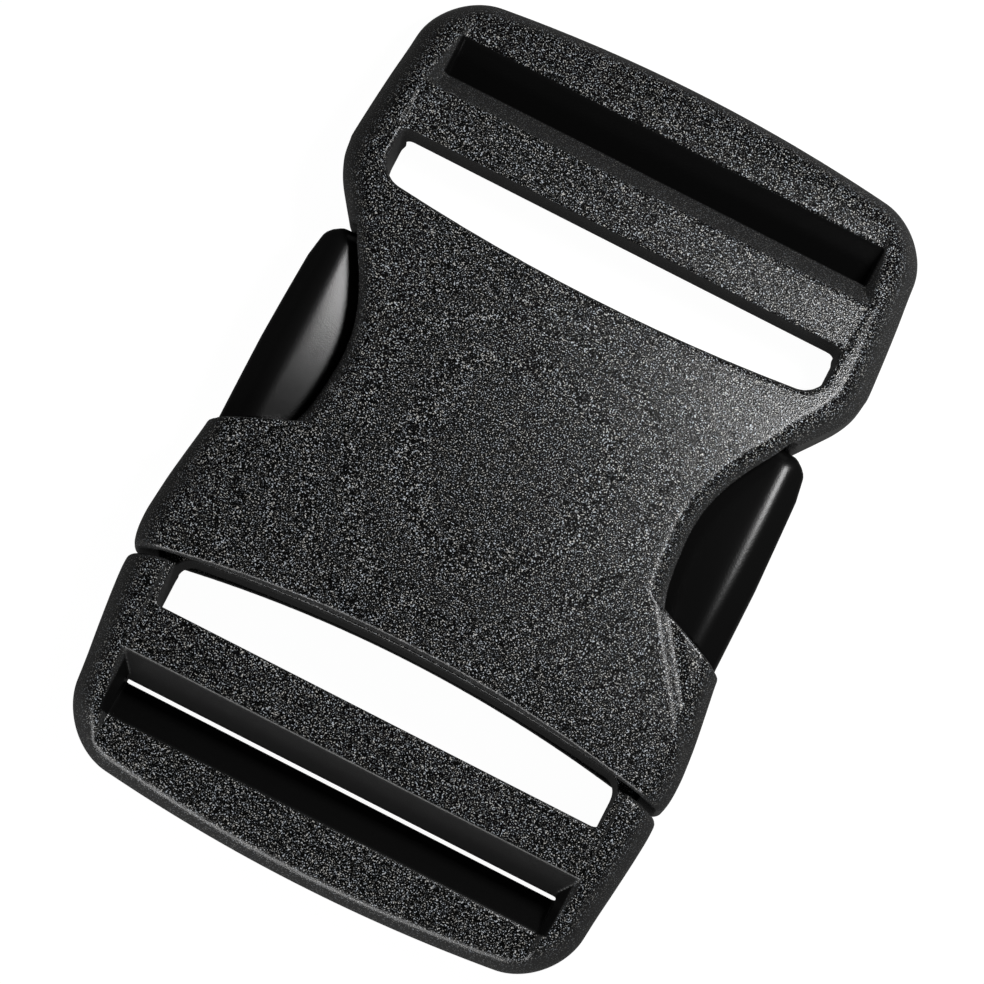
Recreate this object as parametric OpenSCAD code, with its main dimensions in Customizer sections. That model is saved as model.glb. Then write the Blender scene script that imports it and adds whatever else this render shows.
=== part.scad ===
// Side release buckle for wide webbing, fastened and lying on its back, with an adjuster bar at both ends.
// Two one-piece mouldings: the socket fills the +Y half and the plug fills the -Y half and latches into it.
// The origin is under the middle of the buckle, on the surface that it lies on. +X runs across, +Z is up.

/* [Webbing] */
// Width of the webbing that both ends take
webbing_w = 50; // [49.6:0.2:50.8]
// Free space in a slot beside each edge of the webbing
webbing_play = 1.2; // [1.1:0.05:1.4]

/* [Strap frames] */
// Distance from the middle of the buckle to the crown of either end
end_y = 48.02; // [47.9:0.02:48.2]
// Distance from the middle to the inner face of an adjuster bar
adjuster_y = 28.95; // [28.8:0.05:29.2]
// Distance from the middle to the gripping edge of an adjuster bar
grip_y = 34.45; // [34.25:0.05:34.65]
// Height of an adjuster bar at its gripping edge
grip_z = 9.4; // [9.2:0.1:9.6]
// Distance from the middle to the upper edge of an end bar
end_bar_y = 41.15; // [40.9:0.05:41.4]
// Height of an end bar at that edge
end_bar_z = 6.1; // [5.8:0.1:6.4]
// Sideways step from the end of a slot to the inner edge of a rail
rail_step = 0.5; // [0.4:0.05:0.6]

/* [Socket] */
// Distance from the middle to the socket's mouth, on the centre line
mouth_y = 21.1; // [21:0.05:21.2]
// Gap between the socket's mouth and the plug's shoulders
mouth_gap = 0.6; // [0.4:0.05:0.8]
// Floor of the cavity that the plug slides into
cavity_floor = 2.2; // [1.8:0.1:2.4]
// Ceiling of the same cavity
cavity_top = 10.4; // [10.2:0.1:10.6]
// Half of the cavity's width between the side walls
cavity_half = 28.55; // [28.4:0.05:28.7]
// Depth to which the cavity reaches beyond the middle
cavity_end = 17.4; // [17.2:0.1:17.8]
// Distance from the middle to the body's edge at the wide slot, on the centre line
body_edge_y = 21.1; // [21:0.05:21.2]
// Angle at which each shoulder falls away from its crease
shoulder_fall = 26; // [22:1:30]

/* [Plug] */
// Clearance between the plug and the socket
clearance = 0.3; // [0.2:0.05:0.4]
// Height of the plug's base bar and latch arms
arm_top = 8.4; // [8:0.1:8.8]
// Thickness of a latch arm where it bends
arm_t = 3.6; // [3:0.1:4]
// Half of the guide tongue's width
tongue_half = 6.5; // [6:0.5:8]
// Distance that the guide tongue reaches beyond the middle
tongue_end = 12; // [10:1:14]

/* [Edges] */
// Size of the bevel round the underside
foot = 0.8; // [0.6:0.1:1]
// Distance that the sides are drawn in below their widest line
tuck = 0.6; // [0.4:0.1:0.8]
// Height of that widest line
girth_z = 4.6; // [4:0.2:5.2]
// Number of straight steps that round a top edge
edge_steps = 6; // [4:1:8]

/* [Hidden] */
slot_half = webbing_w / 2 + webbing_play;
rail_half = slot_half + rail_step;
mouth_bow = 0.0033;
end_bow = 0.0026;
far = 60;

// Cross sections of the socket, from beyond the mouth to beyond the end.
// Columns: place along the buckle, half width, height, run and drop of the rounded top edge.
SOCKET_SECTIONS = [
    [-25.2, 30.4, 12.2, 3.0, 3.2],
    [-24.3, 31.4, 12.3, 3.2, 3.4],
    [-23.3, 31.8, 12.4, 3.2, 3.5],
    [-20.5, 31.95, 12.5, 3.2, 3.6],
    [-16.6, 31.55, 12.6, 3.0, 3.4],
    [-12.5, 30.9, 12.7, 2.8, 3.2],
    [-8.7, 30.3, 12.75, 2.6, 3.0],
    [-8.2, 29.6, 12.75, 2.5, 2.8],
    [-4.9, 22.4, 12.8, 2.2, 2.4],
    [-3.6, 21.75, 12.8, 2.2, 2.3],
    [-1.5, 21.35, 12.8, 2.2, 2.2],
    [3.5, 20.95, 12.8, 2.2, 2.2],
    [6.5, 21.25, 12.78, 2.2, 2.2],
    [9.5, 22.2, 12.75, 2.2, 2.2],
    [12, 23.5, 12.7, 2.2, 2.2],
    [14.2, 24.95, 12.65, 2.2, 2.3],
    [17.2, 26.5, 12.5, 2.3, 2.5],
    [19.5, 28.25, 12.35, 2.4, 2.8],
    [20.6, 29.15, 12.2, 2.6, 3.0],
    [21.7, 29.9, 12.05, 2.8, 3.2],
    [22.8, 30.5, 11.95, 2.9, 3.5],
    [24, 30.93, 11.8, 3.0, 3.8],
    [26, 31.1, 11.5, 3.0, 4.2],
    [30.4, 30.8, 10.8, 3.0, 4.4],
    [34.8, 30.45, 9.9, 3.0, 4.3],
    [38.4, 30, 8.9, 2.9, 4.0],
    [40.9, 29.56, 8.0, 2.8, 3.7],
    [42.5, 28.9, 7.3, 2.8, 3.4],
    [43.7, 28.25, 6.7, 2.8, 3.2],
    [44.7, 27.4, 6.1, 2.8, 3.0],
    [45.5, 26.45, 5.6, 2.7, 2.8],
    [46.2, 25, 5.2, 2.6, 2.6],
    [46.8, 23, 4.9, 2.6, 2.4],
    [49, 22, 4.4, 2.6, 2.2]];

// The same columns for the plug's strap frame, as distances from the middle.
PLUG_SECTIONS = [
    [22, 30.6, 10.4, 2.8, 2.8],
    [24.3, 31.1, 10.5, 2.9, 3.4],
    [25.2, 31.5, 10.6, 3.0, 3.8],
    [27.2, 31.55, 10.6, 3.0, 4.0],
    [29.3, 31.33, 10.4, 3.0, 4.0],
    [33.6, 30.87, 9.8, 3.0, 4.1],
    [37.4, 30.45, 9.0, 2.9, 4.0],
    [40.4, 30, 8.1, 2.8, 3.7],
    [42.2, 29.4, 7.4, 2.8, 3.4],
    [43.6, 28.65, 6.7, 2.8, 3.2],
    [44.7, 27.75, 6.1, 2.8, 3.0],
    [45.5, 26.85, 5.6, 2.7, 2.8],
    [46.2, 25.4, 5.2, 2.6, 2.6],
    [46.8, 23.2, 4.9, 2.6, 2.4],
    [49, 22.2, 4.4, 2.6, 2.2]];

// Corner points of a latch head's free outline, from the hook round the tip to the arm.
HOOK_OUT = [29.75, -7.88];
HOOK_IN = [25.4, -5.9];
HEAD_SIDE = [[29.5, 4], [29.3, 12.4], [29.2, 14], [28.75, 15.3], [28.0, 16.25], [27.1, 16.8], [26, 17.05]];
HEAD_INNER = [[22.4, 17.05], [20.8, 15.8], [19.8, 12.5], [19.4, 4], [19.9, -2], [21.6, -7]];

function arc(centre, r, from, to, steps) =
    [for (k = [0:steps]) let (a = from + (to - from) * k / steps) centre + r * [cos(a), sin(a)]];

// One closed ring round a cross section, up the right side and down the left.
function ring(row) =
    let (y = row[0], w = row[1], top = row[2], run = row[3], drop = row[4])
    let (edge = [for (k = [0:edge_steps]) let (a = 90 * k / edge_steps)
        [w - run + run * cos(a), top - drop + drop * sin(a)]])
    let (right = concat([[w - tuck - foot, 0], [w - tuck, foot], [w, min(girth_z, 0.9 * (top - drop))]], edge))
    let (left = [for (k = [len(right) - 1:-1:0]) [-right[k][0], right[k][1]]])
    [for (p = concat(right, left)) [p[0], y, p[1]]];

// A solid through the cross sections of a table, smallest y first.
module loft(rows) {
    rings = [for (row = rows) ring(row)];
    n = len(rings[0]);
    last = (len(rows) - 1) * n;
    walls = [for (i = [0:len(rows) - 2], k = [0:n - 1])
        let (a = i * n + k, b = i * n + (k + 1) % n, flip = k >= n / 2)
        each flip ? [[a, b, a + n], [b, b + n, a + n]] : [[a, b, b + n], [a, b + n, a + n]]];
    near_cap = [for (k = [n - 1:-1:0]) k];
    far_cap = [for (k = [0:n - 1]) last + k];
    polyhedron([for (r = rings) each r], concat(walls, [near_cap, far_cap]), convexity = 6);
}

// A bar of constant section along X, from an outline in y and z.
module across(half) {
    translate([-half, 0, 0]) rotate([90, 0, 90]) linear_extrude(2 * half) children();
}

// A bar of constant section along Y, from an outline in x and z.
module along(from, to) {
    translate([0, to, 0]) rotate([90, 0, 0]) linear_extrude(to - from) children();
}

module both_sides() {
    children();
    mirror([1, 0, 0]) children();
}

// The wide slot of a strap frame: a bowed inner side, a straight outer side and rounded corners.
module wide_slot(near, bow, near_r, far_r) {
    corner = slot_half - near_r;
    near_side = [for (k = [-8:8]) let (x = corner * k / 8) [x, near + bow * x * x]];
    right_near = arc([corner, near + bow * corner * corner + near_r], near_r, -84, 0, 6);
    right_far = arc([slot_half - far_r, adjuster_y - far_r], far_r, 0, 90, 4);
    left = [for (p = concat(right_near, right_far)) [-p[0], p[1]]];
    outline = concat(near_side, right_near, right_far, [for (k = [len(left) - 1:-1:0]) left[k]]);
    translate([0, 0, -1]) linear_extrude(far) polygon(outline);
}

// The air over, between and under the two bars of a strap frame. The webbing slides between the bars on a slant.
module strap_air() {
    lip = [grip_y + 2.5, grip_z - 3.8];
    across(rail_half) polygon([
        [adjuster_y, far], [adjuster_y, grip_z + 0.4], [grip_y, grip_z], lip, [lip[0] - 0.5, lip[1] - 0.7],
        [grip_y - 1.5, grip_z - 5.6], [adjuster_y, grip_z - 5.8], [adjuster_y, -1], [lip[0] + 0.8, -1],
        [lip[0] + 0.8, 1], [lip[0] + 0.25, 2.4], [end_bar_y, end_bar_z], [end_bar_y + 3.3, end_bar_z - 0.6],
        [end_bar_y + 5.8, end_bar_z - 1.6], [end_bar_y + 8, end_bar_z - 2.2], [end_bar_y + 8, far]]);
}

// Everything between two arcs across the buckle: a crown that bulges outwards and a mouth that is bowed the same way.
module between_arcs(near, near_bow, crown, crown_bow) {
    half = 34;
    steps = 16;
    near_side = [for (k = [-steps:steps]) let (x = half * k / steps) [x, near - near_bow * x * x]];
    far_side = [for (k = [steps:-1:-steps]) let (x = half * k / steps) [x, crown - crown_bow * x * x]];
    translate([0, 0, -1]) linear_extrude(far) polygon(concat(near_side, far_side));
}

// What is cut away beyond the diagonal crease of a shoulder.
module shoulder_cut() {
    crease_foot = [20, -4.1, 12.8];
    crease_turn = -56;
    translate(crease_foot) rotate([0, 0, crease_turn]) rotate([-shoulder_fall, 0, 0])
        cube([26, 14, 6]);
}

module cavity() {
    side_open = -8.9;
    translate([0, 0, cavity_floor]) linear_extrude(cavity_top - cavity_floor)
        polygon([[-cavity_half, -far], [cavity_half, -far], [cavity_half, side_open], [far, side_open],
            [far, cavity_end], [-far, cavity_end], [-far, side_open], [-cavity_half, side_open]]);
}

module socket() {
    color("#34373a") difference() {
        intersection() {
            loft(SOCKET_SECTIONS);
            between_arcs(-mouth_y, mouth_bow, end_y, end_bow);
        }
        wide_slot(body_edge_y, 0.0023, 2.7, 1.3);
        strap_air();
        cavity();
        both_sides() shoulder_cut();
    }
}

// The plug's frame and the base bar that closes the socket's mouth.
module plug_frame() {
    mirror([0, 1, 0]) difference() {
        union() {
            intersection() {
                loft(PLUG_SECTIONS);
                between_arcs(mouth_y + mouth_gap, -mouth_bow, end_y, end_bow);
            }
            base_bar();
        }
        wide_slot(mouth_y, 0.0029, 2.7, 1.2);
        strap_air();
    }
}

module base_bar() {
    half = cavity_half - clearance;
    translate([-half, 17.5, cavity_floor + clearance])
        cube([2 * half, 9.5, arm_top - cavity_floor - clearance]);
}

// A latch arm with its head. The head's ridge runs along Y, and its inner face falls towards the middle.
module latch() {
    low = cavity_floor + clearance;
    intersection() {
        linear_extrude(far) polygon(concat([[21.6, -18.5], [21.6 + arm_t, -18.5], HOOK_IN, HOOK_OUT],
            HEAD_SIDE, HEAD_INNER));
        union() {
            along(-far, HOOK_OUT[1] + 6) polygon([[19, low], [26.5, low], [26.5, arm_top], [19, arm_top]]);
            along(HOOK_OUT[1] - 1, far) polygon([[19, low], [28.6, low], [29.9, low + 1.6], [29.9, 6.6],
                [28.2, 9.2], [27.1, 9.7], [26.2, 9.5], [23, 8.3], [19, 7.9]]);
        }
        across(far) polygon([[-far, low], [16.2, low], [17.1, low + 1], [17.1, 7], [14.4, 10], [-far, 10]]);
    }
}

module tongue() {
    low = cavity_floor + clearance;
    translate([0, 0, low]) linear_extrude(arm_top - 1.2 - low) polygon([
        [-tongue_half, -18.5], [tongue_half, -18.5], [tongue_half, tongue_end - 3], [tongue_half - 2, tongue_end],
        [2 - tongue_half, tongue_end], [-tongue_half, tongue_end - 3]]);
}

module plug() {
    color("#2f3133") union() {
        plug_frame();
        both_sides() latch();
        tongue();
    }
}

socket();
plug();
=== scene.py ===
# %% [markdown]
# # A side release buckle in black acetal
#
# The real buckle is two plastic mouldings that click together: a socket with a waisted body, and a plug whose two
# spring arms end in the buttons at the sides. This lesson rebuilds both skins with soft moulded edges and gives
# them the fine spark-eroded texture of the steel mould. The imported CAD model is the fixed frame. It could be shown
# as it is, but its edges are sharp facets, so each half gets a finer skin that stands exactly where the solid is.

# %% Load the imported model
import math
import bpy
import numpy as np
from mathutils import Matrix, Vector


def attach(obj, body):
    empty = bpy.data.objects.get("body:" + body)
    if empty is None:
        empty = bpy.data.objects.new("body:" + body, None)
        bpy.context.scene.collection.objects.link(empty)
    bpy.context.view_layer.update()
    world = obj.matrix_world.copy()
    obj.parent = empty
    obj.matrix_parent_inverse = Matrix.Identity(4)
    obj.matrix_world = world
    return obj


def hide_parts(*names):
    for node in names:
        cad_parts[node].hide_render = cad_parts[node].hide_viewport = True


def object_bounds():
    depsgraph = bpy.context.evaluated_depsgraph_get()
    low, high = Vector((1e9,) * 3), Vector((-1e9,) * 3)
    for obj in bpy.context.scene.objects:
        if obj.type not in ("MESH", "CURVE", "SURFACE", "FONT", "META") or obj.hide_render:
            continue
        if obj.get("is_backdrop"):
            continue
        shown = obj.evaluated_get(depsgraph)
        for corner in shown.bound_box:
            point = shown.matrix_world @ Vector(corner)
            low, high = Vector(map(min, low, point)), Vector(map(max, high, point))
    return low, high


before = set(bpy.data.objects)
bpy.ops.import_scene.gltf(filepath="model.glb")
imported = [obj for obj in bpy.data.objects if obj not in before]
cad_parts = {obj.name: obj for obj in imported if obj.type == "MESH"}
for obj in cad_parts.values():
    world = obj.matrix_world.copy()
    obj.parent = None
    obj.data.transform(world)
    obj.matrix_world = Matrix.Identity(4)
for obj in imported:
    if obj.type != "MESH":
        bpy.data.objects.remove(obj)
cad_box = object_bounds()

MM = 0.001
print("nodes:", sorted(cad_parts))

# %% [markdown]
# ## Camera
#
# The photo was taken from almost straight above, a little from the plug's end, with the buckle turned on the table.
# A long lens from nearly a metre gives the same weak perspective. The angles come from how much of the bars' front
# faces shows, and the lens from the width of the slots, which take 50 mm webbing.

# %% Camera at the photo's angle
CAMERA_AZIMUTH = 13.7
CAMERA_ELEVATION = 81.3
CAMERA_ROLL = 13.45
CAMERA_DISTANCE = 920 * MM
MM_PER_PIXEL = 0.10686
PHOTO_SIDE = 984
SENSOR = 36
AIM = Vector((-0.14, -1.40, 6.0)) * MM


def camera_turn(azimuth, elevation, roll):
    """The camera's axes: back points from the aim to the camera, right lies level, then both turn by the roll."""
    a, e = math.radians(azimuth), math.radians(elevation)
    back = Vector((math.sin(a) * math.cos(e), -math.cos(a) * math.cos(e), math.sin(e)))
    right = Vector((math.cos(a), math.sin(a), 0))
    level = Matrix((right, back.cross(right), back)).transposed()
    return level @ Matrix.Rotation(math.radians(roll), 3, "Z"), back


turn, back = camera_turn(CAMERA_AZIMUTH, CAMERA_ELEVATION, CAMERA_ROLL)
camera = bpy.data.objects.new("camera", bpy.data.cameras.new("camera"))
camera.data.sensor_width = SENSOR
camera.data.lens = SENSOR * CAMERA_DISTANCE / (MM_PER_PIXEL * MM * PHOTO_SIDE)
camera.data.clip_start = 0.05
camera.matrix_world = Matrix.Translation(AIM + back * CAMERA_DISTANCE) @ turn.to_4x4()
bpy.context.scene.collection.objects.link(camera)
bpy.context.scene.camera = camera
print(f"lens {camera.data.lens:.0f} mm")

# %% [markdown]
# ## Distance fields
#
# Moulded plastic has no sharp edge: every corner of the mould has a radius. Bevels on a mesh with many crossing cuts
# soon tangle, so each skin is first described as a distance field, a function of x, y and z that says how far a
# point is outside the solid. Solids then meet by taking the larger or the smaller distance, and a small change to
# that rule rounds the edge where they meet. A grid of two parameters can't follow slots that branch like these, so
# this way is used for both mouldings. All sizes in the fields are millimetres.


# %% Rules for solids that meet
def both(a, b, r, power=2.0):
    """Points inside a and inside b: the larger distance, with the outer edge between them rounded to radius r.

    The edge is where the distances past the start of the rounding, each raised to the power, add up to r raised to
    it. Two gives an arc, and less gives a flatter edge that is nearer to a chamfer.
    """
    u = np.maximum(a + r, 0)
    v = np.maximum(b + r, 0)
    return np.minimum(np.maximum(a, b), -r) + (u**power + v**power) ** (1 / power)


def either(a, b, r):
    """Points inside a or inside b: the smaller distance, with the inner corner between them filled to radius r."""
    return -both(-a, -b, r)


def without(a, b, r):
    """Solid a with b cut away, and the edge of the cut rounded to radius r."""
    return both(a, -b, r)


def between(t, low, high):
    """Distance to the slab from low to high along one axis."""
    return np.maximum(low - t, t - high)


def ramp(t, start, length):
    """Nought up to start, one from a length beyond it, and a straight climb between."""
    return np.clip((t - start) / length, 0, 1)


print(f"an arc of 1 mm radius stays {both(0.0, 0.0, 1.0):.2f} mm short of a square corner")

# %% [markdown]
# ## Outlines
#
# The outlines of the real buckle are bows and rounded corners that a mould maker cut. They could be Blender curves,
# but a field has to measure its distance to an outline, so here each one is a list of points. The waist is a curve
# through points, straight-sided shapes are corners with a radius each, and a size that changes along the strap is a
# table whose corners are averaged away.

# %% Outlines in a plane
TABLE_STEP = 0.1
TINY = 1e-12


def smooth(points, steps=6):
    """A curve through all points. Each stretch is a cubic, with the slope at a point taken from its neighbours."""
    p = np.asarray(points, float)
    p = np.vstack([2 * p[0] - p[1], p, 2 * p[-1] - p[-2]])
    t = np.linspace(0, 1, steps, endpoint=False)[None, :, None]
    a, b, c, d = (p[i:len(p) - 3 + i, None, :] for i in range(4))
    curve = b + t * (c - a) / 2 + t**2 * (a - 2.5 * b + 2 * c - d / 2) + t**3 * (1.5 * (b - c) + (d - a) / 2)
    return np.vstack([curve.reshape(-1, 2), p[-2:-1]])


def rounded(corners, steps=5):
    """An outline from rows of u, v and radius.

    Each corner is a parabola between the two points where an arc of that radius would touch its sides.
    """
    rows = np.asarray(corners, float)
    p, r = rows[:, :2], rows[:, 2:]
    to_last, to_next = np.roll(p, 1, 0) - p, np.roll(p, -1, 0) - p
    to_last /= np.linalg.norm(to_last, axis=1, keepdims=True)
    to_next /= np.linalg.norm(to_next, axis=1, keepdims=True)
    cosine = (to_last * to_next).sum(1, keepdims=True)
    reach = r * np.sqrt((1 + cosine) / (1 - cosine))
    t = np.linspace(0, 1, steps + 1)[None, :, None]
    start, end = (p + to_last * reach)[:, None], (p + to_next * reach)[:, None]
    return ((1 - t) ** 2 * start + 2 * t * (1 - t) * p[:, None] + t**2 * end).reshape(-1, 2)


def inside(u, v, outline):
    """Signed distance to a closed outline, measured to its nearest side.

    It is negative inside, which is where a ray towards larger u crosses the sides an odd number of times.
    """
    u, v = np.broadcast_arrays(u, v)
    nearest = np.full(u.shape, np.inf)
    odd = np.zeros(u.shape, bool)
    for (su, sv), (eu, ev) in zip(outline, np.roll(outline, -1, 0)):
        du, dv = eu - su, ev - sv
        t = np.clip(((u - su) * du + (v - sv) * dv) / (du * du + dv * dv + TINY), 0, 1)
        nearest = np.minimum(nearest, (u - su - t * du) ** 2 + (v - sv - t * dv) ** 2)
        odd ^= ((sv > v) != (ev > v)) & (u < du * (v - sv) / (dv or 1) + su)
    return np.where(odd, -1, 1) * np.sqrt(nearest)


def eased(rows, t, reach=3.0):
    """A table of t and value, joined by straight lines and then averaged over a window, so that no corner shows."""
    rows = np.asarray(rows, float)
    fine = np.arange(rows[0, 0] - reach, rows[-1, 0] + reach, TABLE_STEP)
    window = np.hanning(int(reach / TABLE_STEP) | 1)
    values = np.interp(fine, rows[:, 0], rows[:, 1])
    return np.interp(t, fine, np.convolve(values, window / window.sum(), "same"))


SQUARE = rounded([[0, 0, 1], [4, 0, 1], [4, 4, 1], [0, 4, 1]])
print(f"the middle of a 4 mm square with {len(SQUARE)} outline points lies {-inside(2, 2, SQUARE):.1f} mm inside")

# %% [markdown]
# ## Sizes that both mouldings share
#
# Both ends take the same webbing, so the strap frames share their bars: an adjuster bar that the webbing loops over,
# a slanted gap, and an end bar. The bars could be two swept pieces between two rails. Here the air around them is
# one profile seen from the side, cut out of a solid frame, because the rails and their inner fillets are then left
# standing by themselves.

# %% Strap frame sizes
WEBBING_HALF = 25
SLOT_HALF = 26.4
SLOT_DRAFT, DRAFT_END = 0.05, 2.5
BAR_FACE = 28.95

# Half widths between the rails above the bars, how much closer the rails' lower walls stand beyond the slot, where
# along the strap that change starts and how long it is, and the height from which the walls lean in, with how deep
# the lean goes.
RAIL_HALF, PLUG_RAIL_HALF, RAIL_STEP = 26.75, 27.2, 1.5
CLOSER_FROM, CLOSER_LENGTH = 33, 1.5
WALL_TOP, WALL_SLOPE = 9, 2.6
BAR_FILLET, END_FILLET, FILLET_FROM, FILLET_LENGTH = 0.1, 0.15, 34.5, 3

# The bowed end and mouth: distance from the middle at the crown, and how fast the bow falls back across the strap.
END_CROWN, END_BOW, END_CORNER = 48.02, 0.0026, 6.2
MOUTH, MOUTH_BOW = 21.1, 0.0033

# The sides are widest at the girth, and tuck in below it. The top edge is a little flatter than an ellipse.
GIRTH, GIRTH_LIMIT, TUCK = 4.6, 0.9, 0.6
EDGE_POWER = 1.6
SIDE_EASE = 5.0
SLOT_EDGE, BAR_EDGE, UNDERSIDE_EDGE = 0.55, 0.35, 0.8
FAR = 60

# The air over, between and under the two bars, seen from the side: distance from the middle, height, edge radius.
BAR_AIR = [
    [BAR_FACE, 9.9, 0.6], [34.45, 9.45, 0.35], [37.12, 5.5, 0.25], [36.4, 4.8, 0.4], [33.0, 3.8, 1.0],
    [BAR_FACE, 3.6, 0.7], [BAR_FACE, -5, 0], [37.6, -5, 0], [37.6, 1.0, 0.3], [36.98, 2.4, 0.25], [41.5, 6.4, 1.2],
    [44.6, 5.95, 2.0], [47.0, 5.25, 1.5], [49.0, 4.5, 0], [49.0, FAR, 0]]
SOCKET_BAR_AIR = rounded([[28.6, FAR, 0], *BAR_AIR])
PLUG_BAR_AIR = rounded([[19, FAR, 0], [19, 9.75, 0], [28, 9.9, 2], *BAR_AIR[1:]])
print(f"a slot leaves {SLOT_HALF - WEBBING_HALF:.1f} mm free at each side of 50 mm webbing")

# %% [markdown]
# ## The cuts that make a strap frame
#
# The same few shapes make both frames: the wide slot, the air round the bars, the bowed ends, and the rolled edge of
# the moulding itself. Its walls lean a little, because a part with upright walls would stick in its mould. Solids
# for Blender's Boolean could do the cutting, but they would leave each cut edge sharp.


# %% Strap frame cuts
def along(y):
    """Distance from the middle of the buckle, along the strap."""
    return np.abs(y)


def slot_wall(z, top):
    """Half width of a wide slot at that height. The walls draw in towards the underside, as the draft needs."""
    return SLOT_HALF / (1 + SLOT_DRAFT * np.clip(top - np.maximum(z, DRAFT_END), 0, None) / SLOT_HALF)


def bar_air(x, y, z, outline, rail_half, slot_top):
    """The air round the bars, between the rails.

    The rails' lower walls go on from the slot's, come closer at the gap, and lean back near the top. The fillet
    between a wall and a bar grows a little towards the end.
    """
    fillet = BAR_FILLET + (END_FILLET - BAR_FILLET) * ramp(along(y), FILLET_FROM, FILLET_LENGTH)
    beside_slot = slot_wall(z, slot_top)
    low = beside_slot + (rail_half - RAIL_STEP - beside_slot) * ramp(along(y), CLOSER_FROM, CLOSER_LENGTH)
    wall = rail_half + (low - rail_half) * ramp(-z, -WALL_TOP, WALL_SLOPE)
    return both(x - wall, inside(along(y), z, outline), fillet)


def end_arc(x, y):
    """Distance beyond the crown of the end, a flat parabola across the strap."""
    return along(y) - END_CROWN + END_BOW * x * x


def mouth_arc(x, y, gap=0.0):
    """Distance beyond the socket's mouth, towards the plug's end."""
    return -y - MOUTH - gap - MOUTH_BOW * x * x


def slot_outline(crown, bow, corner_radius, outer_radius):
    """A wide slot: an inner side that bows across the strap, a straight side along the bar, and round corners."""
    x = np.linspace(-SLOT_HALF + corner_radius, SLOT_HALF - corner_radius, 13)
    inner = np.column_stack([x, crown + bow * x * x])
    corner = crown + bow * x[-1] ** 2
    turn = np.radians(np.linspace(-80, 0, 6))[:, None]
    right = [x[-1], corner + corner_radius] + corner_radius * np.hstack([np.cos(turn), np.sin(turn)])
    outer = rounded([[SLOT_HALF, corner, 0], [SLOT_HALF, BAR_FACE, outer_radius], [0, BAR_FACE, 0]], 5)
    half = np.vstack([right, outer[6:12]])  # the six points of the second corner
    return np.vstack([inner, half, (half * [-1, 1])[::-1]])


def wide_slot(x, y, z, crown, bow, top, radii):
    """The wide slot: its outline, drawn in across the strap as its wall is at each height."""
    return inside(x * SLOT_HALF / slot_wall(z, top), along(y), slot_outline(crown, bow, *radii))


def strap_edge(plan, z, top, run, drop):
    """A moulding with that plan: its sides draw in below the girth, and its top edge is nearly a quarter ellipse."""
    girth = np.minimum(GIRTH, GIRTH_LIMIT * (top - drop))
    tucked = plan + TUCK * np.clip(1 - z / girth, 0, 1) ** 2
    return both(tucked, (z - top) * run / drop, run, EDGE_POWER)


print(f"the crowned end falls back {END_BOW * SLOT_HALF**2:.2f} mm at the slot's ends")

# %% [markdown]
# ## The socket
#
# The socket's body is waisted so that fingers reach the buttons. Its outline is a bowed rectangle with a bite out of
# each side, and the bite has a soft rolled edge. Each shoulder ends in a crisp line that catches the latch, and
# lies lower than the body beyond a diagonal crease. The body could be a subdivided cage, but tables of half widths
# and heights along the strap are easier to set against a photo.

# %% Socket sizes
SOCKET_SIDE = [
    [-25, 31.0], [-23.3, 31.8], [-20.5, 31.95], [-16.6, 31.6], [-12.5, 31.0], [-8.7, 30.4], [0, 30.3], [18, 31.1],
    [26, 31.15], [30.4, 30.85], [34.8, 30.5], [38.4, 30.1], [42, 29.85], [50, 29.1]]
SOCKET_TOP = [
    [-25, 12.25], [-16, 12.6], [-4, 12.78], [8, 12.78], [15, 12.6], [20.5, 12.25], [26, 11.5], [30.4, 10.8],
    [34.8, 9.9], [38.4, 8.9], [41, 8.0], [43.7, 6.8], [46, 5.9], [49, 4.8]]
SOCKET_RUN = [[-25, 3.2], [-9, 2.6], [-4, 2.2], [16, 2.2], [21, 2.7], [26, 3.1], [40, 2.8], [45, 2.2], [49, 1.5]]
SOCKET_DROP = [[-25, 3.4], [-9, 3.0], [-4, 2.3], [16, 2.3], [21, 3.2], [26, 4.2], [36, 4.3], [43, 3.2], [49, 1.6]]
WAIST = [
    [22.6, -5.4], [22.0, -4.2], [21.5, -2.5], [21.1, 0.5], [20.95, 3.8], [21.3, 6.8], [22.2, 9.6], [23.5, 12.2],
    [25.0, 14.6], [26.7, 17.3], [28.4, 19.6], [29.8, 21.6], [30.7, 23.6], [31.1, 26]]
WAIST_OUTSIDE = [[40, 26], [40, -20], [23.2, -20]]
HOOK_START, HOOK_SLOPE = (22.1, -5.02), -0.425
CREASE_START, CREASE_TURN = (20.0, -4.0), math.radians(-54.5)
SHOULDER_STEP, STEP_WIDTH = 0.42, 1.5
SHOULDER_RISE, RISE_WIDTH = 0.2, 1.1
SHOULDER_END_EDGE, MOUTH_EDGE, WINDOW_EDGE = 0.25, 0.6, 0.25
CAVITY_FLOOR, CAVITY_TOP, CAVITY_HALF, CAVITY_END, CAVITY_EDGE = 2.2, 10.4, 28.55, 17.4, 0.3
CROSS_CROWN, CROWN_HALF = 0.7, 28
BODY_EDGE, BODY_EDGE_BOW, SOCKET_SLOT_TOP, SOCKET_SLOT_RADII = 21.3, 0.0025, 11.5, (3.0, 1.0)
print(f"the socket is {2 * max(half for _, half in SOCKET_SIDE):.1f} mm wide at the mouth's shoulders")

# %% [markdown]
# ## The socket as a field
#
# The real socket is one moulding, and its field is one function. Body and shoulders are joined by taking the smaller
# distance, and then all that is open is cut away: the mouth, the slot, the air round the bars, and the cavity that
# the plug slides into, which shows through the windows. Cutting last gives every opening its own edge radius.


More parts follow.
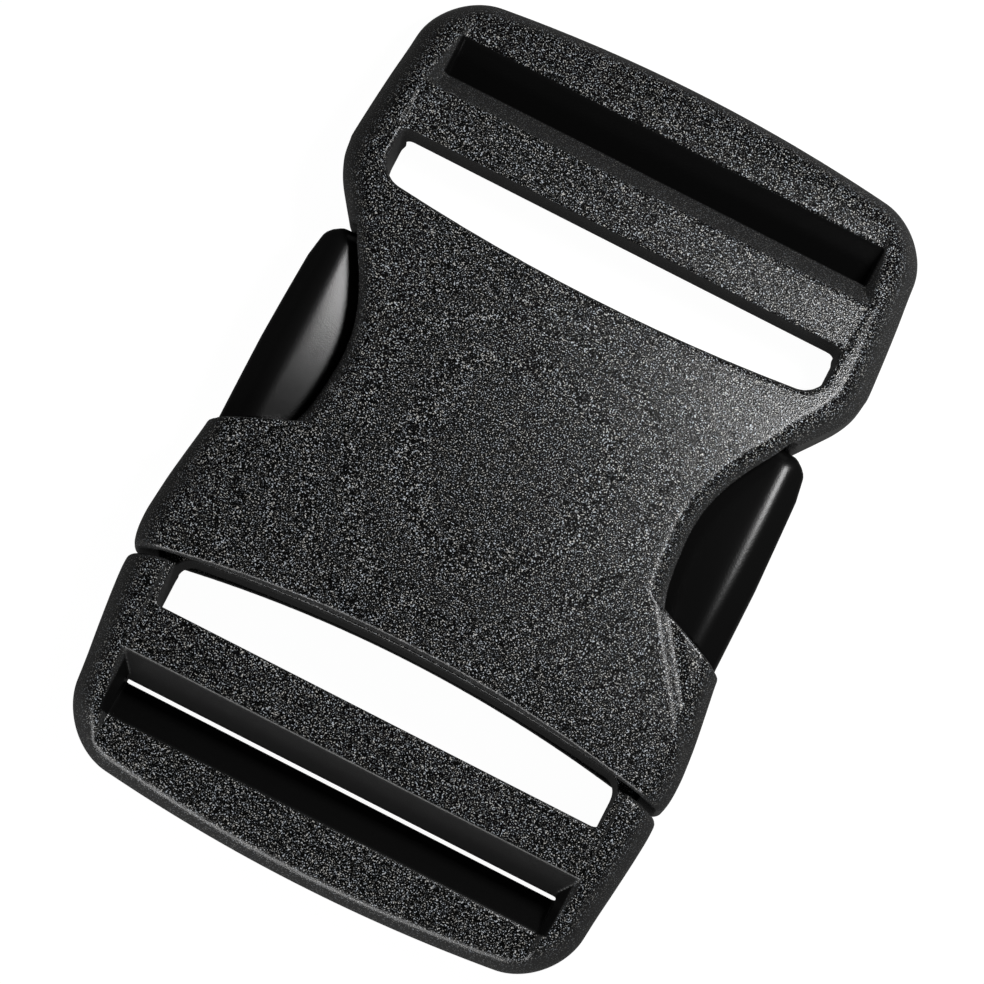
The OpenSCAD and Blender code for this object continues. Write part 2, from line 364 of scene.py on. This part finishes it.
# %% Socket field
def shoulder_drop(x, y):
    """How far a shoulder lies below the body: a soft step down beyond the diagonal crease, then a smaller rise.

    Each is t squared times 3 minus 2 t, which starts and ends level, with t the distance over the step's width.
    """
    out = (y - CREASE_START[1]) * math.cos(CREASE_TURN) - (x - CREASE_START[0]) * math.sin(CREASE_TURN)
    fall, rise = ramp(out, 0, STEP_WIDTH), ramp(out, STEP_WIDTH, RISE_WIDTH)
    return SHOULDER_STEP * fall**2 * (3 - 2 * fall) - SHOULDER_RISE * rise**2 * (3 - 2 * rise)


def hook_line(x, y):
    """Distance in front of the line that ends a shoulder and catches the latch's hook."""
    rise = y - HOOK_START[1] - HOOK_SLOPE * (x - HOOK_START[0])
    return rise / math.hypot(1, HOOK_SLOPE)


def cavity(x, y, z):
    """The space that the plug slides into, open at the mouth and, past the shoulders, at both sides."""
    plan = np.maximum(np.minimum(x - CAVITY_HALF, -hook_line(x, y)), y - CAVITY_END)
    return both(plan, between(z, CAVITY_FLOOR, CAVITY_TOP), CAVITY_EDGE)


def socket_field(x, y, z):
    """The body and frame with their rolled edges, less the waist, mouth, slot, bars' air and cavity."""
    top = eased(SOCKET_TOP, y) - CROSS_CROWN * (x / CROWN_HALF) ** 2
    run, drop = eased(SOCKET_RUN, y), eased(SOCKET_DROP, y)
    side = both(x - eased(SOCKET_SIDE, y, SIDE_EASE), end_arc(x, y), END_CORNER)
    waist_gap = inside(x, y, np.vstack([smooth(WAIST), WAIST_OUTSIDE]))
    body = strap_edge(np.maximum(side, -waist_gap), z, top, run, drop)
    shoulder = strap_edge(side, z, top - shoulder_drop(x, y), run, drop)
    solid = np.minimum(body, both(shoulder, hook_line(x, y), SHOULDER_END_EDGE))
    solid = both(solid, mouth_arc(x, y), MOUTH_EDGE)
    own = np.maximum(y, 0)  # the slot and the bars are cut at the socket's end only
    slot = wide_slot(x, own, z, BODY_EDGE, BODY_EDGE_BOW, SOCKET_SLOT_TOP, SOCKET_SLOT_RADII)
    solid = without(solid, slot, SLOT_EDGE)
    solid = without(solid, bar_air(x, own, z, SOCKET_BAR_AIR, RAIL_HALF, SOCKET_SLOT_TOP), BAR_EDGE)
    solid = without(solid, cavity(x, y, z), WINDOW_EDGE)
    return both(solid, -z, UNDERSIDE_EDGE)


print(f"the socket's roof is {eased(SOCKET_TOP, 0.0) - CAVITY_TOP:.1f} mm thick over the cavity")

# %% [markdown]
# ## The plug
#
# The plug's frame is made as the socket's is, only lower, and its base bar fills the socket's mouth. Two arms carry
# the buttons, which have a ridge along them and, inside it, a sloping thumb face that is crowned a little from end
# to end. The tongue between the arms guides the plug and hides inside the socket. The buttons could be modelled by
# hand from cubes, but three outlines from three sides, each with its corner radii, say the same and meet exactly.

# %% Plug sizes
PLUG_SIDE = [
    [22, 31.0], [24.3, 31.4], [26, 31.6], [29.3, 31.35], [33.6, 30.9], [37.4, 30.45], [40.4, 30.2], [44, 29.8],
    [50, 29.1]]
PLUG_TOP = [
    [20, 10.5], [26, 10.6], [29.3, 10.4], [33.6, 9.8], [37.4, 9.0], [40.4, 8.1], [43.6, 6.8], [46, 5.9], [49, 4.8]]
PLUG_RUN = [[20, 3.0], [40, 2.8], [45, 2.2], [49, 1.5]]
PLUG_DROP = [[20, 3.6], [26, 4.0], [36, 4.1], [43, 3.2], [49, 1.6]]
MOUTH_GAP, PLUG_MOUTH_EDGE = 0.6, 0.7
BASE_HALF, BASE_LOW, BASE_TOP, BASE_BACK, BASE_FRONT = 28.25, 2.5, 8.4, 17.5, 27
BASE_CORNER, BASE_EDGE, BASE_JOIN = 0.5, 0.4, 0.8
PLUG_SLOT_BOW, PLUG_SLOT_TOP, PLUG_SLOT_RADII, PLUG_SLOT_EDGE = 0.0029, 9.5, (1.9, 0.9), 0.4
TONGUE_HALF, TONGUE_ROOT, TONGUE_END, TONGUE_TOP, TONGUE_CORNER = 6.5, -18.5, 12.0, 7.2, 2.0
ARM_OUTSIDE, ARM_END, BUTTON_ROOT = 26, -5.5, -9
BUTTON_EDGE, TIP_EDGE, HOOK_EDGE, ARM_CORNER = 0.25, 0.8, 0.3, 0.5

# A latch arm seen from above, from its root round the hook and the button's tip: x, y, corner radius.
LATCH = [
    [21.6, -18.5, 0], [25.2, -18.5, 0], [25.4, -6.2, 0.3], [29.8, -8.07, 0.15], [29.75, 2, 6], [29.3, 12.3, 3],
    [28.8, 15.2, 1.4], [27.2, 16.8, 1.2], [22.4, 16.9, 1.5], [20.6, 15.5, 2], [19.6, 10, 4], [19.4, 3, 4],
    [19.9, -2, 3], [21.6, -7, 4]]
# The button's section across the strap: x, height, radius. Its sloping top is the thumb face, up to the ridge, and
# its right side is the outer wall.
BUTTON = [
    [16, 2.5, 0], [28.6, 2.5, 0.4], [29.95, 4.2, 1.0], [29.85, 7.5, 1.3], [26.85, 10.0, 2.4], [19.0, 7.6, 1.0],
    [16, 7.6, 0]]
BUTTON_CROWN, CROWN_MIDDLE = 0.0045, 3.5
# The button's rounded tip seen from the side: distance along the strap, height, radius.
BUTTON_TIP = [
    [-30, 2.5, 0], [16.4, 2.5, 0.4], [17.15, 4.0, 0.8], [17.05, 7.2, 1.2], [15.3, 9.9, 1.6], [-30, 10.6, 0]]
print("the buttons' ridge is", max(height for _, height, _ in BUTTON), "mm high before its corner is rounded")

# %% [markdown]
# ## The plug as a field
#
# The real plug is one moulding too, of a plastic springy enough to bend at the arms' roots. The frame and the base bar
# flow into each other with a fillet before the slot is cut. The arms and the tongue are then simply joined on, because
# the socket hides where they grow out of the base bar.


# %% Plug field
def strap_frame(x, y, z):
    """The plug's rails and bars, cut by the mouth's arc at the inner end and the crown's at the other."""
    out = along(y)
    side = both(x - eased(PLUG_SIDE, out, SIDE_EASE), end_arc(x, y), END_CORNER)
    solid = strap_edge(side, z, eased(PLUG_TOP, out), eased(PLUG_RUN, out), eased(PLUG_DROP, out))
    return both(solid, -mouth_arc(x, y, MOUTH_GAP), PLUG_MOUTH_EDGE)


def base_bar(x, y, z):
    """The bar that closes the socket's mouth, rounded along its edges."""
    length = between(-y, BASE_BACK, BASE_FRONT)
    return both(both(x - BASE_HALF, length, BASE_CORNER), between(z, BASE_LOW, BASE_TOP), BASE_EDGE)


def latch(x, y, z):
    """An arm and its button: the outline from above, met by the section across and by the rounded tip."""
    plan = inside(x, y, rounded(LATCH))
    section = inside(x, z + BUTTON_CROWN * (y - CROWN_MIDDLE) ** 2, rounded(BUTTON))
    tip = inside(y, z, rounded(BUTTON_TIP))
    button = both(both(plan, section, BUTTON_EDGE), tip, TIP_EDGE)
    arm = both(np.maximum(plan, x - ARM_OUTSIDE), y - ARM_END, ARM_CORNER)
    arm = both(arm, between(z, BASE_LOW, BASE_TOP), BASE_EDGE)
    return np.minimum(both(button, BUTTON_ROOT - y, HOOK_EDGE), arm)


def tongue(x, y, z):
    """The guide tongue, a flat bar with a rounded end."""
    plan = both(x - TONGUE_HALF, y - TONGUE_END, TONGUE_CORNER)
    return both(np.maximum(plan, TONGUE_ROOT - y), between(z, BASE_LOW, TONGUE_TOP), BASE_EDGE)


def plug_field(x, y, z):
    """The strap frame and base bar, less the slot and the bars' air, joined to the arms and tongue."""
    solid = either(strap_frame(x, y, z), base_bar(x, y, z), BASE_JOIN)
    own = np.minimum(y, 0)  # the slot and the bars are cut at the plug's end only
    slot = wide_slot(x, own, z, MOUTH, PLUG_SLOT_BOW, PLUG_SLOT_TOP, PLUG_SLOT_RADII)
    solid = without(solid, slot, PLUG_SLOT_EDGE)
    solid = without(solid, bar_air(x, own, z, PLUG_BAR_AIR, PLUG_RAIL_HALF, PLUG_SLOT_TOP), BAR_EDGE)
    solid = both(solid, -z, UNDERSIDE_EDGE)
    solid = np.minimum(solid, latch(x, y, z))
    return np.minimum(solid, tongue(x, y, z))


print(f"the base bar has {CAVITY_TOP - BASE_TOP:.1f} mm of air above it in the mouth")

# %% [markdown]
# ## From a field to a mesh
#
# The field is worked out on a lattice of points, once for the right half, and mirrored. Each lattice cell that the
# surface crosses gets one vertex, at the mean of its crossings, and each lattice edge that is crossed gets one face
# between its four cells. Blender's metaballs and Remesh make skins too, but they know nothing of this field, and the
# way used here needs no table of cases.

# %% Lattice and skin
LATTICE_STEP = 0.24
SKIN_MARGIN = 3  # lattice steps of empty space round a piece


def lattice(field, low_y, high_y, high_x, high_z, step):
    """The field on a box of points from x = 0, mirrored to the other side, and the place of its first point."""
    x = np.arange(0, high_x + SKIN_MARGIN * step, step)
    y = np.arange(low_y - SKIN_MARGIN * step, high_y + SKIN_MARGIN * step, step)
    z = np.arange(-SKIN_MARGIN * step, high_z + SKIN_MARGIN * step, step)
    values = field(x[:, None, None], y[None, :, None], z[None, None, :]).astype(np.float32)
    return np.concatenate([values[:0:-1], values]), np.array([-x[-1], y[0], z[0]])


def skin(values):
    """One vertex in each crossed cell, at the mean of its crossings, and one face round each crossed edge."""
    solid = values < 0
    cells = tuple(n - 1 for n in values.shape)
    total = np.zeros(cells + (3,), np.float32)
    count = np.zeros(cells, np.float32)
    rings = []
    for axis in range(3):
        e, u, v = np.roll(np.eye(3, dtype=int), -axis, 0)
        low, high = [slice(None)] * 3, [slice(None)] * 3
        low[axis], high[axis] = slice(None, -1), slice(1, None)
        at = np.argwhere(solid[tuple(low)] != solid[tuple(high)])
        start, end = values[tuple(at.T)], values[tuple((at + e).T)]
        crossing = at + (start / (start - end))[:, None] * e
        ring = [at - u - v, at - v, at, at - u]
        for cell in ring:
            total[tuple(cell.T)] += crossing
            count[tuple(cell.T)] += 1
        ring = np.stack(ring, 1)
        outside = start >= 0  # nought counts as outside, as it does in solid
        ring[outside] = ring[outside][:, ::-1]
        rings.append(ring)
    used = count > 0
    number = np.full(cells, -1, np.int32)
    number[used] = np.arange(used.sum())
    faces = number[tuple(np.moveaxis(np.concatenate(rings), 2, 0))]
    return total[used] / count[used][:, None], faces


print("lattice step:", LATTICE_STEP, "mm")

# %% [markdown]
# ## Onto the true surface
#
# The mean of a cell's crossings is only near the surface, and on a moulded edge that shows as ripples in the shine.
# So each vertex slides down the field's slope until the field reads nought. A Smooth modifier would calm the ripples
# as well, but it shrinks small radii. The slope is also the surface's normal, which the shading uses later.

# %% Slope and settling
SLOPE_REACH = 0.6  # lattice steps either way
LEAST_SLOPE = 1e-6


def read(values, points):
    """The field between lattice points: the mean of the eight around, weighted by how near each one is."""
    base = np.clip(np.floor(points).astype(int), 0, np.array(values.shape) - 2)
    part = points - base
    result = np.zeros(len(points))
    for corner in np.ndindex(2, 2, 2):
        weight = np.where(corner, part, 1 - part).prod(1)
        result += weight * values[tuple((base + corner).T)]
    return result


def slope(values, points):
    """The field's gradient: the difference between two points along each axis, over their distance."""
    steps = np.eye(3) * SLOPE_REACH
    return np.stack([(read(values, points + s) - read(values, points - s)) / (2 * SLOPE_REACH) for s in steps], 1)


def settle(values, points, rounds=3):
    """Moves points onto the surface: each goes down the slope by the distance that the field still reads."""
    for _ in range(rounds):
        g = slope(values, points)
        points = points - g * (read(values, points) / np.maximum((g * g).sum(1), LEAST_SLOPE))[:, None]
    return points


print("the slope is read over", round(2 * SLOPE_REACH * LATTICE_STEP, 3), "mm")

# %% [markdown]
# ## One mesh for one moulding
#
# A moulding leaves its mould as one closed skin, so each half is one mesh. Its radii need many small faces and its
# flats need few, so a Decimate collapse thins the flats. A mesh of thinned faces shades in facets, unless each
# vertex is given the normal of the true curve, so the field's slope is stored as custom normals.

# %% Make a piece from its field
TRIANGLE_LIMIT = 190_000


def mesh_arrays(mesh):
    """The vertices of a mesh as one array."""
    flat = np.zeros(len(mesh.vertices) * 3, np.float32)
    mesh.vertices.foreach_get("co", flat)
    return flat.reshape(-1, 3)


def thinned(mesh, limit):
    """The mesh with its flattest edges collapsed until it has about that many triangles."""
    probe = bpy.data.objects.new("probe", mesh)
    bpy.context.scene.collection.objects.link(probe)
    collapse = probe.modifiers.new("collapse", "DECIMATE")
    collapse.ratio = min(1.0, limit / (2 * len(mesh.polygons)))
    depsgraph = bpy.context.evaluated_depsgraph_get()
    result = bpy.data.meshes.new_from_object(probe.evaluated_get(depsgraph))
    bpy.data.objects.remove(probe)
    return result


def moulding(name, field, low_y, high_y, high_x, high_z):
    """A piece whose surface is where the field is zero, with the field's slope as its normals."""
    values, origin = lattice(field, low_y, high_y, high_x, high_z, LATTICE_STEP)
    points, faces = skin(values)
    points = settle(values, points.astype(float))
    mesh = bpy.data.meshes.new(name)
    mesh.from_pydata((points * LATTICE_STEP + origin) * MM, [], faces)
    if 2 * len(faces) > TRIANGLE_LIMIT:
        mesh = thinned(mesh, TRIANGLE_LIMIT)
    mesh.name = name
    mesh.shade_smooth()
    places = (mesh_arrays(mesh) / MM - origin) / LATTICE_STEP
    normals = slope(values, places)
    normals /= np.linalg.norm(normals, axis=1, keepdims=True)
    mesh.normals_split_custom_set_from_vertices(normals)
    piece = bpy.data.objects.new(name, mesh)
    bpy.context.scene.collection.objects.link(piece)
    size = np.ptp(mesh_arrays(mesh), axis=0) / MM
    print(f"{name}: {len(mesh.polygons)} faces, {size.round(2)} mm")
    return piece


# %% [markdown]
# ## Socket and plug
#
# Both halves are made in place, fastened as in the photo, so nothing has to be moved afterwards. Each skin takes the
# place of its solid and belongs to the one body that the buckle is. They could be one mesh, but the library keeps
# what comes apart in use as two pieces.

# %% The two mouldings
SOCKET_BOX = (-24.6, 48.2, 32.2, 12.9)  # from and to along the strap, half width, height
PLUG_BOX = (-48.2, 17.4, 32.2, 10.8)
socket = moulding("socket_moulding", socket_field, *SOCKET_BOX)
plug = moulding("plug_moulding", plug_field, *PLUG_BOX)
for piece, node in ((socket, "socket"), (plug, "plug")):
    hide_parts(node)
    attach(piece, "root")

# %% [markdown]
# ## Materials
#
# Both halves are black acetal, a hard slippery plastic that is moulded hot in a steel cavity and copies its finish.
# A material here is a small tree of shader nodes. It could be clicked together in the editor, but two helpers keep it
# readable as text: one turns a colour as seen on a screen into linear light, and one adds any node with its settings
# and links.


# %% Colours and node helper
def linear(hex_colour):
    """An sRGB hex colour as linear red, green, blue and alpha."""
    channels = [int(hex_colour[i:i + 2], 16) / 255 for i in (1, 3, 5)]
    return [c / 12.92 if c <= 0.04045 else ((c + 0.055) / 1.055) ** 2.4 for c in channels] + [1.0]


def add(tree, kind, inputs=None, **settings):
    """Adds a node. Settings are its properties, and inputs are values or links for its sockets."""
    node = tree.nodes.new(kind)
    for key, value in settings.items():
        setattr(node, key, value)
    for key, value in (inputs or {}).items():
        if isinstance(value, bpy.types.NodeSocket):
            tree.links.new(value, node.inputs[key])
        else:
            node.inputs[key].default_value = value
    return node


def new_material(name):
    """An empty node material and its output node."""
    material = bpy.data.materials.new(name)
    material.use_nodes = True
    material.node_tree.nodes.clear()
    return material, material.node_tree, add(material.node_tree, "ShaderNodeOutputMaterial")


print("mid grey on a screen, #808080, is", round(linear("#808080")[0], 3), "in linear light")

# %% [markdown]
# ## Where the plastic is smooth
#
# On the real buckle the buttons and the faces of the gaps are smooth, because that steel was ground and not eroded.
# They could be marked by an attribute of the mesh, but on thinned faces that would blur. So the material finds them by
# their place on the piece, as boxes of distance across and along the strap, and their edges stay crisp.

# %% Smooth places
BAND_BLUR = 0.1 * MM


def in_band(tree, coordinate, low, high):
    """One where a coordinate in metres lies between low and high in millimetres, and nought outside."""
    low, high = low * MM, high * MM
    up = add(tree, "ShaderNodeMapRange", {0: coordinate, 1: low - BAND_BLUR, 2: low + BAND_BLUR})
    down = add(tree, "ShaderNodeMapRange", {0: coordinate, 1: high - BAND_BLUR, 2: high + BAND_BLUR, 3: 1.0, 4: 0.0})
    return add(tree, "ShaderNodeMath", {0: up.outputs[0], 1: down.outputs[0]}, operation="MULTIPLY").outputs[0]


def smooth_places(tree, place, bands):
    """The largest of the boxes' masks, each of which is its mask across the strap times its mask along it."""
    split = add(tree, "ShaderNodeSeparateXYZ", {0: place})
    x = add(tree, "ShaderNodeMath", {0: split.outputs[0]}, operation="ABSOLUTE").outputs[0]
    y = add(tree, "ShaderNodeMath", {0: split.outputs[1]}, operation="ABSOLUTE").outputs[0]
    mask = None
    for across, lengthwise in bands:
        box = {0: in_band(tree, x, *across), 1: in_band(tree, y, *lengthwise)}
        patch = add(tree, "ShaderNodeMath", box, operation="MULTIPLY").outputs[0]
        if mask is not None:
            patch = add(tree, "ShaderNodeMath", {0: patch, 1: mask}, operation="MAXIMUM").outputs[0]
        mask = patch
    return mask


# Distances across the strap, then along it, in millimetres, with the same values on both sides of the middle.
SOCKET_BAR_FACES = ((-1, 25.5), (36.9, 41.5))
PLUG_BAR_FACES = ((-1, 26.7), (34.4, 41.5))
BUTTONS = ((19, 32), (-1, 18))
print("smooth boxes: 1 on the socket, 2 on the plug")

# %% [markdown]
# ## Spark-eroded acetal
#
# Spark erosion leaves the steel full of fine craters, and the plastic full of fine bumps. To the eye that is a near
# black skin with a dust of pale glints, which gets denser where the lamp is mirrored. Steep walls are eroded less,
# because deep bumps would hold the part in its mould, so their grain fades, and their colour is a painted grey sheen
# that stands in for the pale surroundings mirrored at a grazing angle. True bumps alone would need thousands of
# samples to glint, so the glints are painted as flecks of pale colour on the same noise as a shallow bump. The real
# grain is finer than 0.1 mm, too fine for this picture, and is drawn as coarse as it needs to show.

# %% Acetal
ACETAL_IOR = 1.48
GRAIN, GRAIN_DEPTH = 0.145 * MM, 0.03 * MM
PAINTED_GLINT_LOW, PAINTED_GLINT_HIGH = 0.36, 0.75  # the part of the noise that becomes flecks
PAINTED_GLINT_POWER = 5.4  # a higher power leaves fewer and smaller flecks
STEEP, LEVEL = 0.55, 0.9  # the upward part of the normal on steep and on level skin
STEEP_GRAIN, POLISHED_BUMP = 0.2, 0.3  # what is left of the grain on steep skin and of the bump on polished skin
ERODED_ROUGHNESS, PAINTED_GLINT_ROUGHNESS, POLISHED_ROUGHNESS = 0.22, 0.18, 0.27
HUE_SCALE, COOL, WARM = 0.3, 0.4, 0.6  # patches per grain, and where their noise is fully cool and fully warm
# Steep skin's grey is a painted sheen, for the glints' mean and the pale surroundings mirrored at a grazing angle.
BLACK, SIDE_SHEEN_GREY, POLISHED_BLACK = "#030303", "#404040", "#121212"
GLINTS = ("#eaf2fb", "#f4f2ec")


def acetal(name, smooth_bands):
    """Black acetal, eroded with painted glints, smooth in the boxes, fading to a painted grey sheen on steep walls."""
    material, tree, output = new_material(name)
    coordinates = add(tree, "ShaderNodeTexCoord")
    place = coordinates.outputs["Object"]
    polished = smooth_places(tree, place, smooth_bands)
    upward = add(tree, "ShaderNodeSeparateXYZ", {0: coordinates.outputs["Normal"]}).outputs[2]
    level = add(tree, "ShaderNodeMapRange", {0: upward, 1: STEEP, 2: LEVEL, 3: STEEP_GRAIN, 4: 1.0}).outputs[0]
    unpolished = add(tree, "ShaderNodeMath", {0: 1.0, 1: polished}, operation="SUBTRACT").outputs[0]
    eroded = add(tree, "ShaderNodeMath", {0: unpolished, 1: level}, operation="MULTIPLY").outputs[0]

    grain = add(tree, "ShaderNodeTexNoise", {"Vector": place, "Scale": 1 / GRAIN, "Detail": 0.0}).outputs[0]
    strength = add(tree, "ShaderNodeMapRange", {0: eroded, 3: POLISHED_BUMP, 4: 1.0}).outputs[0]
    bump = add(tree, "ShaderNodeBump", {"Strength": strength, "Distance": GRAIN_DEPTH, "Height": grain}).outputs[0]
    # The flecks are painted glints: pale colour where the grain's noise is high, standing in for the lamp's glints on
    # bumps.
    painted_glint = add(tree, "ShaderNodeMapRange", {0: grain, 1: PAINTED_GLINT_LOW, 2: PAINTED_GLINT_HIGH}).outputs[0]
    painted_glint = add(tree, "ShaderNodeMath", {0: painted_glint, 1: PAINTED_GLINT_POWER}, operation="POWER").outputs[0]
    painted_glint = add(tree, "ShaderNodeMath", {0: painted_glint, 1: eroded}, operation="MULTIPLY").outputs[0]

    hue = add(tree, "ShaderNodeTexNoise", {"Vector": place, "Scale": HUE_SCALE / GRAIN, "Detail": 1.0}).outputs[0]
    warmth = add(tree, "ShaderNodeMapRange", {0: hue, 1: COOL, 2: WARM}).outputs[0]
    tint = add(tree, "ShaderNodeMix", {
        0: warmth, 6: linear(GLINTS[0]), 7: linear(GLINTS[1])}, data_type="RGBA").outputs[2]
    # Steep skin gets the painted grey sheen instead of black.
    ground = add(tree, "ShaderNodeMix", {
        0: level, 6: linear(SIDE_SHEEN_GREY), 7: linear(BLACK)}, data_type="RGBA").outputs[2]
    ground = add(tree, "ShaderNodeMix", {
        0: polished, 6: ground, 7: linear(POLISHED_BLACK)}, data_type="RGBA").outputs[2]
    colour = add(tree, "ShaderNodeMix", {0: painted_glint, 6: ground, 7: tint}, data_type="RGBA").outputs[2]

    rough = add(tree, "ShaderNodeMapRange", {
        0: painted_glint, 1: 0.0, 2: 0.5, 3: ERODED_ROUGHNESS, 4: PAINTED_GLINT_ROUGHNESS}).outputs[0]
    rough = add(tree, "ShaderNodeMix", {0: polished, 2: rough, 3: POLISHED_ROUGHNESS}).outputs[0]
    surface = add(tree, "ShaderNodeBsdfPrincipled", {
        "Base Color": colour, "Roughness": rough, "IOR": ACETAL_IOR, "Normal": bump})
    tree.links.new(surface.outputs[0], output.inputs[0])
    return material


socket.data.materials.append(acetal("acetal_socket", [SOCKET_BAR_FACES]))
plug.data.materials.append(acetal("acetal_plug", [PLUG_BAR_FACES, BUTTONS]))
print("materials:", [m.name for m in bpy.data.materials])

# %% [markdown]
# ## Floor
#
# In the photo the white around the buckle throws hardly any light on its walls, which are nearly black. A plain
# white floor would light them all from the side, and an empty one would give no ground to stand on. So this floor is
# dark card for every ray but the camera's, which sees it glow white.


# %% Floor
FLOOR_HALF = 1.5
FLOOR_DROP = 0.05 * MM
FLOOR_GLOW, FLOOR_GLOW_SEEN = 0.03, 0.98


def floor():
    """A wide square with its middle under the part, a hair below the flat underside so that the two don't mix."""
    corners = np.array([[-1, -1, 0], [1, -1, 0], [1, 1, 0], [-1, 1, 0]]) * FLOOR_HALF - [0, 0, FLOOR_DROP]
    mesh = bpy.data.meshes.new("floor")
    mesh.from_pydata(corners, [], [[0, 1, 2, 3]])
    plane = bpy.data.objects.new("floor", mesh)
    bpy.context.scene.collection.objects.link(plane)
    material, tree, output = new_material("pale_card")
    seen = add(tree, "ShaderNodeLightPath").outputs["Is Camera Ray"]
    glow = add(tree, "ShaderNodeMapRange", {0: seen, 3: FLOOR_GLOW, 4: FLOOR_GLOW_SEEN})
    surface = add(tree, "ShaderNodeBsdfPrincipled", {
        "Base Color": linear("#5c5c5b"), "Roughness": 0.9, "Emission Color": linear("#ffffff"),
        "Emission Strength": glow.outputs[0]})
    tree.links.new(surface.outputs[0], output.inputs[0])
    mesh.materials.append(material)
    plane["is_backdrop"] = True


floor()
print(f"the floor is {2 * FLOOR_HALF:.0f} m wide")

# %% [markdown]
# ## Lights
#
# The photo's light falls off across the buckle and draws a thin bright line along each ridge, so its main lamp was
# small and close, at the upper right. A long low panel beyond the plug's end lights the faces of the bars that look
# that way and the left thumb face. A photographed surrounding could stand in for both, but it would be one more file,
# and area lights are easier to move. The faint white world only keeps the shadows from going quite black.


# %% Lights
def softbox(name, place, aim, width, height, power):
    """A rectangular area light that faces a point."""
    data = bpy.data.lights.new(name, "AREA")
    data.shape = "RECTANGLE"
    data.size, data.size_y, data.energy = width, height, power
    light = bpy.data.objects.new(name, data)
    direction = Vector(aim) - Vector(place)
    light.matrix_world = Matrix.Translation(place) @ direction.to_track_quat("-Z", "Y").to_matrix().to_4x4()
    bpy.context.scene.collection.objects.link(light)


MIDDLE = (0, 0, 0)
softbox("key", (0.068, 0.068, 0.147), MIDDLE, width=0.052, height=0.052, power=0.17)
softbox("fill", (-0.07, -0.34, 0.085), MIDDLE, width=0.3, height=0.1, power=0.55)

world = bpy.data.worlds.new("studio")
world.use_nodes = True
world.node_tree.nodes["Background"].inputs[0].default_value = (1, 1, 1, 1)
world.node_tree.nodes["Background"].inputs[1].default_value = 0.03
bpy.context.scene.world = world
bpy.context.scene.view_settings.view_transform = "Standard"

# %% [markdown]
# ## Sizes
#
# A buckle fits its webbing by size alone, so the skins have to fill the same box as the imported solids. The mesh could
# be measured by eye in the viewport, but setting the two boxes side by side leaves no doubt, so how far the skins'
# corners reach beyond the solids' is printed.

# %% Compare the sizes and finish
looks_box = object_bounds()
beyond = [[round((a - b) / MM, 2) for a, b in zip(*pair)] for pair in zip(looks_box, cad_box)]
print("low and high corner beyond the CAD box, mm:", beyond)
